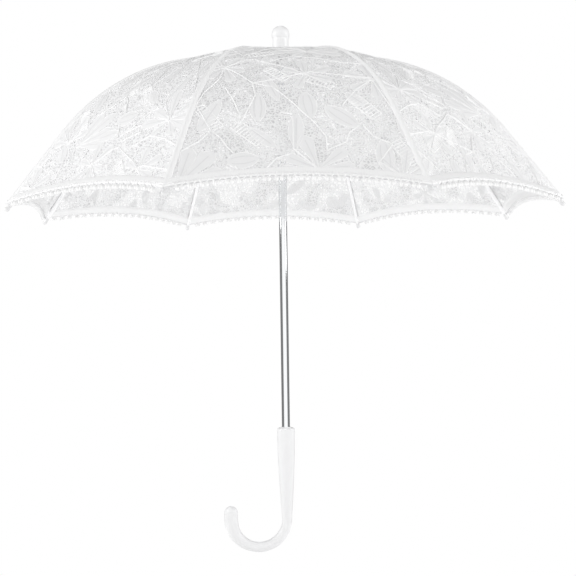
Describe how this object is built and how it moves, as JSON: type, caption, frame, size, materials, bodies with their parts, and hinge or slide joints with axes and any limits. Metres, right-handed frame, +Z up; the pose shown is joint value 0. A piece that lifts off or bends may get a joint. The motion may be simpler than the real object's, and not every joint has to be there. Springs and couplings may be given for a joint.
{
  "type": "lace parasol",
  "caption": "Child's open lace parasol: domed eight-panel canopy with pompom hem, folding ribs and stretchers on a steel shaft, and a hooked handle.",
  "frame": {"origin": "on the shaft's axis, at the middle of the hand grip, 40 mm below the top of the handle", "axes": "+Z up the shaft towards the ferrule, -X the way the hook points; rib 1 is 22.5 degrees from +X towards +Y"},
  "size_m": [0.515, 0.515, 0.5262],
  "materials": {
    "chrome_tube": "polished",
    "white_plastic": "gloss",
    "rib_paint": "satin",
    "bright_wire": "satin",
    "lace": "matte",
    "pompom_braid": "matte"
  },
  "bodies": {
    "root": {"shaft_tube": "chrome_tube", "crown_notch": "white_plastic", "crown_ring_wire": "bright_wire", "crown_washer": "bright_wire", "ferrule_knob": "white_plastic", "stop_pin": "bright_wire", "handle": "white_plastic", "handle_washer": "white_plastic"},
    "rib_1": {"rib_1": "rib_paint", "rib_tip_1": "white_plastic", "canopy_panel_1": "lace", "pompom_trim_1": "pompom_braid"},
    "stretcher_1": {"stretcher_1": "rib_paint", "rivet_1": "bright_wire"},
    "rib_2": {"rib_2": "rib_paint", "rib_tip_2": "white_plastic", "canopy_panel_2": "lace", "pompom_trim_2": "pompom_braid"},
    "stretcher_2": {"stretcher_2": "rib_paint", "rivet_2": "bright_wire"},
    "rib_3": {"rib_3": "rib_paint", "rib_tip_3": "white_plastic", "canopy_panel_3": "lace", "pompom_trim_3": "pompom_braid"},
    "stretcher_3": {"stretcher_3": "rib_paint", "rivet_3": "bright_wire"},
    "rib_4": {"rib_4": "rib_paint", "rib_tip_4": "white_plastic", "canopy_panel_4": "lace", "pompom_trim_4": "pompom_braid"},
    "stretcher_4": {"stretcher_4": "rib_paint", "rivet_4": "bright_wire"},
    "rib_5": {"rib_5": "rib_paint", "rib_tip_5": "white_plastic", "canopy_panel_5": "lace", "pompom_trim_5": "pompom_braid"},
    "stretcher_5": {"stretcher_5": "rib_paint", "rivet_5": "bright_wire"},
    "rib_6": {"rib_6": "rib_paint", "rib_tip_6": "white_plastic", "canopy_panel_6": "lace", "pompom_trim_6": "pompom_braid"},
    "stretcher_6": {"stretcher_6": "rib_paint", "rivet_6": "bright_wire"},
    "rib_7": {"rib_7": "rib_paint", "rib_tip_7": "white_plastic", "canopy_panel_7": "lace", "pompom_trim_7": "pompom_braid"},
    "stretcher_7": {"stretcher_7": "rib_paint", "rivet_7": "bright_wire"},
    "rib_8": {"rib_8": "rib_paint", "rib_tip_8": "white_plastic", "canopy_panel_8": "lace", "pompom_trim_8": "pompom_braid"},
    "stretcher_8": {"stretcher_8": "rib_paint", "rivet_8": "bright_wire"},
    "runner": {"runner": "white_plastic", "runner_ring_wire": "bright_wire"},
    "top_catch": {"top_catch": "bright_wire"},
    "bottom_catch": {"bottom_catch": "bright_wire"}
  },
  "joints": [
    {"name": "rib_1_fold", "type": "hinge", "parent": "root", "child": "rib_1", "pos_m": [0.00693, 0.00287, 0.40719], "axis": [-0.3827, 0.9239, 0], "range_deg": [0, 57], "deforming": ["canopy_panel_1", "pompom_trim_1", "top_catch", "bottom_catch"]},
    {"name": "rib_2_fold", "type": "hinge", "parent": "root", "child": "rib_2", "pos_m": [0.00287, 0.00693, 0.40719], "axis": [-0.9239, 0.3827, 0], "range_deg": [0, 57], "deforming": ["canopy_panel_2", "pompom_trim_2"]},
    {"name": "rib_3_fold", "type": "hinge", "parent": "root", "child": "rib_3", "pos_m": [-0.00287, 0.00693, 0.40719], "axis": [-0.9239, -0.3827, 0], "range_deg": [0, 57], "deforming": ["canopy_panel_3", "pompom_trim_3"]},
    {"name": "rib_4_fold", "type": "hinge", "parent": "root", "child": "rib_4", "pos_m": [-0.00693, 0.00287, 0.40719], "axis": [-0.3827, -0.9239, 0], "range_deg": [0, 57], "deforming": ["canopy_panel_4", "pompom_trim_4"]},
    {"name": "rib_5_fold", "type": "hinge", "parent": "root", "child": "rib_5", "pos_m": [-0.00693, -0.00287, 0.40719], "axis": [0.3827, -0.9239, 0], "range_deg": [0, 57], "deforming": ["canopy_panel_5", "pompom_trim_5"]},
    {"name": "rib_6_fold", "type": "hinge", "parent": "root", "child": "rib_6", "pos_m": [-0.00287, -0.00693, 0.40719], "axis": [0.9239, -0.3827, 0], "range_deg": [0, 57], "deforming": ["canopy_panel_6", "pompom_trim_6"]},
    {"name": "rib_7_fold", "type": "hinge", "parent": "root", "child": "rib_7", "pos_m": [0.00287, -0.00693, 0.40719], "axis": [0.9239, 0.3827, 0], "range_deg": [0, 57], "deforming": ["canopy_panel_7", "pompom_trim_7"]},
    {"name": "rib_8_fold", "type": "hinge", "parent": "root", "child": "rib_8", "pos_m": [0.00693, -0.00287, 0.40719], "axis": [0.3827, 0.9239, 0], "range_deg": [0, 57], "deforming": ["canopy_panel_8", "pompom_trim_8"]},
    {"name": "stretcher_1_swing", "type": "hinge", "parent": "rib_1", "child": "stretcher_1", "pos_m": [0.14959, 0.06196, 0.37479], "axis": [-0.3827, 0.9239, 0], "range_deg": [-114, 0]},
    {"name": "stretcher_2_swing", "type": "hinge", "parent": "rib_2", "child": "stretcher_2", "pos_m": [0.06196, 0.14959, 0.37479], "axis": [-0.9239, 0.3827, 0], "range_deg": [-114, 0]},
    {"name": "stretcher_3_swing", "type": "hinge", "parent": "rib_3", "child": "stretcher_3", "pos_m": [-0.06196, 0.14959, 0.37479], "axis": [-0.9239, -0.3827, 0], "range_deg": [-114, 0]},
    {"name": "stretcher_4_swing", "type": "hinge", "parent": "rib_4", "child": "stretcher_4", "pos_m": [-0.14959, 0.06196, 0.37479], "axis": [-0.3827, -0.9239, 0], "range_deg": [-114, 0]},
    {"name": "stretcher_5_swing", "type": "hinge", "parent": "rib_5", "child": "stretcher_5", "pos_m": [-0.14959, -0.06196, 0.37479], "axis": [0.3827, -0.9239, 0], "range_deg": [-114, 0]},
    {"name": "stretcher_6_swing", "type": "hinge", "parent": "rib_6", "child": "stretcher_6", "pos_m": [-0.06196, -0.14959, 0.37479], "axis": [0.9239, -0.3827, 0], "range_deg": [-114, 0]},
    {"name": "stretcher_7_swing", "type": "hinge", "parent": "rib_7", "child": "stretcher_7", "pos_m": [0.06196, -0.14959, 0.37479], "axis": [0.9239, 0.3827, 0], "range_deg": [-114, 0]},
    {"name": "stretcher_8_swing", "type": "hinge", "parent": "rib_8", "child": "stretcher_8", "pos_m": [0.14959, -0.06196, 0.37479], "axis": [0.3827, 0.9239, 0], "range_deg": [-114, 0]},
    {"name": "runner_slide", "type": "hinge", "parent": "stretcher_1", "child": "runner", "pos_m": [0.00693, 0.00287, 0.34238], "axis": [-0.3827, 0.9239, 0], "range_deg": [0, 57]},
    {"name": "top_catch_press", "type": "slide", "parent": "root", "child": "top_catch", "axis": [0, -1, 0], "range_m": [0, 0.0021], "stiffness_N_per_m": 400},
    {"name": "bottom_catch_press", "type": "slide", "parent": "root", "child": "bottom_catch", "axis": [0, -1, 0], "range_m": [0, 0.0021], "stiffness_N_per_m": 400}
  ],
  "couplings": [
    {"joint": "rib_2_fold", "follows": "rib_1_fold", "ratio": 1},
    {"joint": "rib_3_fold", "follows": "rib_1_fold", "ratio": 1},
    {"joint": "rib_4_fold", "follows": "rib_1_fold", "ratio": 1},
    {"joint": "rib_5_fold", "follows": "rib_1_fold", "ratio": 1},
    {"joint": "rib_6_fold", "follows": "rib_1_fold", "ratio": 1},
    {"joint": "rib_7_fold", "follows": "rib_1_fold", "ratio": 1},
    {"joint": "rib_8_fold", "follows": "rib_1_fold", "ratio": 1},
    {"joint": "stretcher_1_swing", "follows": "rib_1_fold", "ratio": -2},
    {"joint": "stretcher_2_swing", "follows": "rib_1_fold", "ratio": -2},
    {"joint": "stretcher_3_swing", "follows": "rib_1_fold", "ratio": -2},
    {"joint": "stretcher_4_swing", "follows": "rib_1_fold", "ratio": -2},
    {"joint": "stretcher_5_swing", "follows": "rib_1_fold", "ratio": -2},
    {"joint": "stretcher_6_swing", "follows": "rib_1_fold", "ratio": -2},
    {"joint": "stretcher_7_swing", "follows": "rib_1_fold", "ratio": -2},
    {"joint": "stretcher_8_swing", "follows": "rib_1_fold", "ratio": -2},
    {"joint": "runner_slide", "follows": "rib_1_fold", "ratio": 1}
  ]
}
